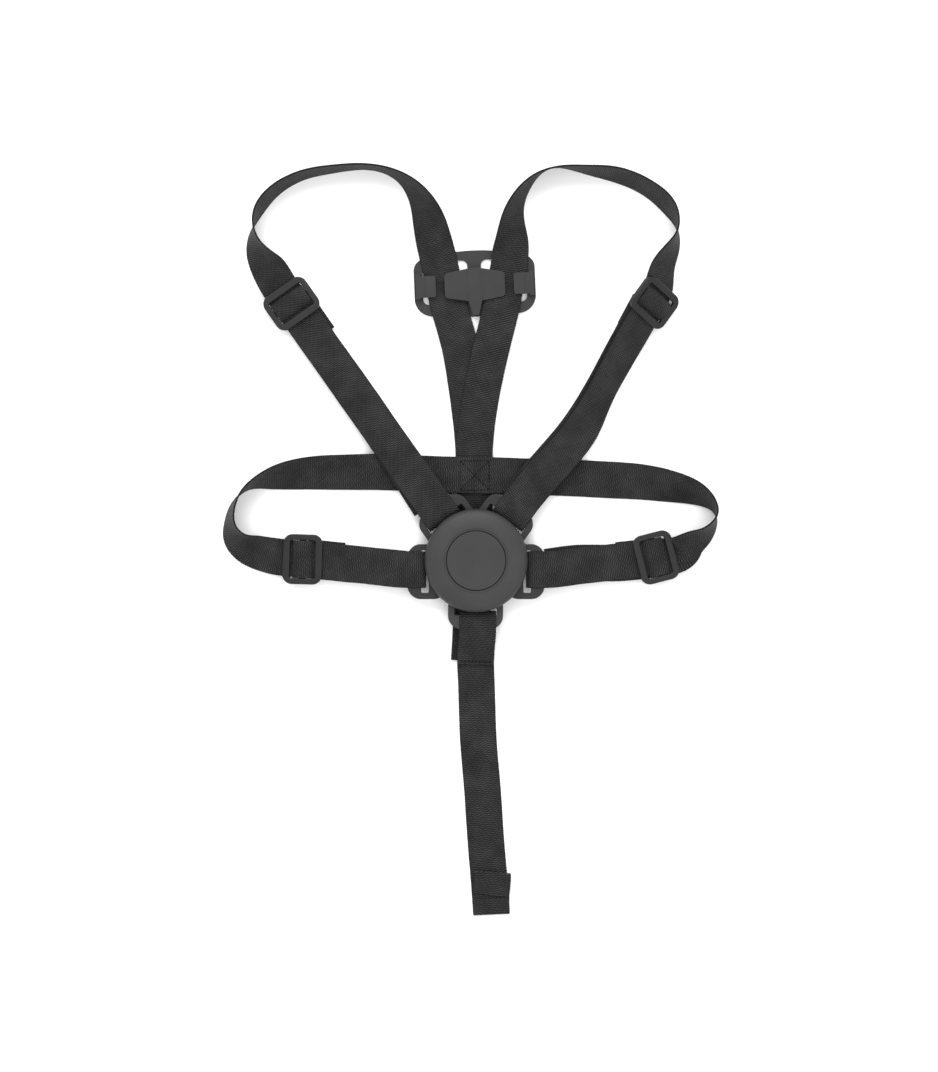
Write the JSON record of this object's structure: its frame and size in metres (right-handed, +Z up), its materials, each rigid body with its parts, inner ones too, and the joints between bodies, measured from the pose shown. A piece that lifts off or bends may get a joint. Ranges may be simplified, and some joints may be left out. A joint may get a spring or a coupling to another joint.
{
  "type": "child safety harness",
  "caption": "Child safety harness of flat webbing with a round push-button buckle, slide adjusters on shoulder and waist loops, a back yoke plate and a crotch strap.",
  "frame": {"origin": "on the surface the harness lies on, under the middle of its outline", "axes": "+Z up from the surface, out of the buckle's push button; +Y from the crotch strap towards the shoulder loops; +X to the viewer's right when the buckle faces the viewer"},
  "size_m": [0.3359, 0.5106, 0.0251],
  "materials": {
    "buckle_shell": "fine matte texture",
    "button": "fine matte texture",
    "tongues": "satin moulded",
    "adjusters": "satin moulded",
    "yoke": "fine matte texture",
    "webbing": "flat woven webbing",
    "thread": "twisted sewing thread",
    "spring_steel": "satin",
    "screws": "satin"
  },
  "bodies": {
    "harness": {"back_box_stitching": "thread", "buckle_back_housing": "buckle_shell", "buckle_front_cover": "buckle_shell", "buckle_screws": "screws", "button_spring": "spring_steel", "crotch_lap_stitching": "thread", "crotch_stop_fold": "webbing", "crotch_stop_stitching": "thread", "crotch_strap": "webbing", "latch_spring": "spring_steel", "left_shoulder_loop_back": "webbing", "left_v_strap": "webbing", "left_waist_belt": "webbing", "left_waist_loop_back": "webbing", "right_shoulder_loop_back": "webbing", "right_v_strap": "webbing", "right_waist_belt": "webbing", "right_waist_loop_back": "webbing", "spine_strap": "webbing"},
    "release_button": {"release_button": "button"},
    "yoke": {"yoke_plate": "yoke"},
    "left_shoulder_end": {"left_shoulder_tongue": "tongues", "left_shoulder_front_strap": "webbing", "left_shoulder_return_strap": "webbing", "left_shoulder_loop_front": "webbing"},
    "left_shoulder_slider": {"left_shoulder_adjuster": "adjusters", "left_shoulder_crossover": "webbing", "left_shoulder_strap_tail": "webbing"},
    "right_shoulder_end": {"right_shoulder_tongue": "tongues", "right_shoulder_front_strap": "webbing", "right_shoulder_return_strap": "webbing", "right_shoulder_loop_front": "webbing"},
    "right_shoulder_slider": {"right_shoulder_adjuster": "adjusters", "right_shoulder_crossover": "webbing", "right_shoulder_strap_tail": "webbing"},
    "left_waist_end": {"left_waist_tongue": "tongues", "left_waist_front_strap": "webbing", "left_waist_return_strap": "webbing", "left_waist_loop_front": "webbing"},
    "left_waist_slider": {"left_waist_adjuster": "adjusters", "left_waist_crossover": "webbing", "left_waist_strap_tail": "webbing"},
    "right_waist_end": {"right_waist_tongue": "tongues", "right_waist_front_strap": "webbing", "right_waist_return_strap": "webbing", "right_waist_loop_front": "webbing"},
    "right_waist_slider": {"right_waist_adjuster": "adjusters", "right_waist_crossover": "webbing", "right_waist_strap_tail": "webbing"}
  },
  "joints": [
    {"name": "button_press", "type": "slide", "parent": "harness", "child": "release_button", "axis": [0, 0, -1], "range_m": [0, 0.003], "stiffness_N_per_m": 900, "springref_m": -0.004, "deforming": ["button_spring", "latch_spring"]},
    {"name": "left_shoulder_release", "type": "slide", "parent": "harness", "child": "left_shoulder_end", "axis": [-0.5807, 0.8141, 0], "range_m": [0, 0.015], "deforming": ["latch_spring"]},
    {"name": "right_shoulder_release", "type": "slide", "parent": "harness", "child": "right_shoulder_end", "axis": [0.5807, 0.8141, 0], "range_m": [0, 0.015], "deforming": ["latch_spring"]},
    {"name": "left_waist_release", "type": "slide", "parent": "harness", "child": "left_waist_end", "axis": [-1, 0, 0], "range_m": [0, 0.015], "deforming": ["latch_spring"]},
    {"name": "right_waist_release", "type": "slide", "parent": "harness", "child": "right_waist_end", "axis": [1, 0, 0], "range_m": [0, 0.015], "deforming": ["latch_spring"]},
    {"name": "left_shoulder_adjust", "type": "slide", "parent": "left_shoulder_end", "child": "left_shoulder_slider", "axis": [0.5768, -0.8161, 0.0365], "range_m": [0, 0.06]},
    {"name": "right_shoulder_adjust", "type": "slide", "parent": "right_shoulder_end", "child": "right_shoulder_slider", "axis": [-0.476, -0.8795, 0], "range_m": [0, 0.04]},
    {"name": "left_waist_adjust", "type": "slide", "parent": "left_waist_end", "child": "left_waist_slider", "axis": [0.9914, -0.0981, 0.0868], "range_m": [0, 0.022]},
    {"name": "right_waist_adjust", "type": "slide", "parent": "right_waist_end", "child": "right_waist_slider", "axis": [-0.9906, -0.1096, 0.0815], "range_m": [0, 0.024]},
    {"name": "yoke_slide", "type": "slide", "parent": "harness", "child": "yoke", "axis": [0, 1, 0], "range_m": [0, 0.008]}
  ]
}
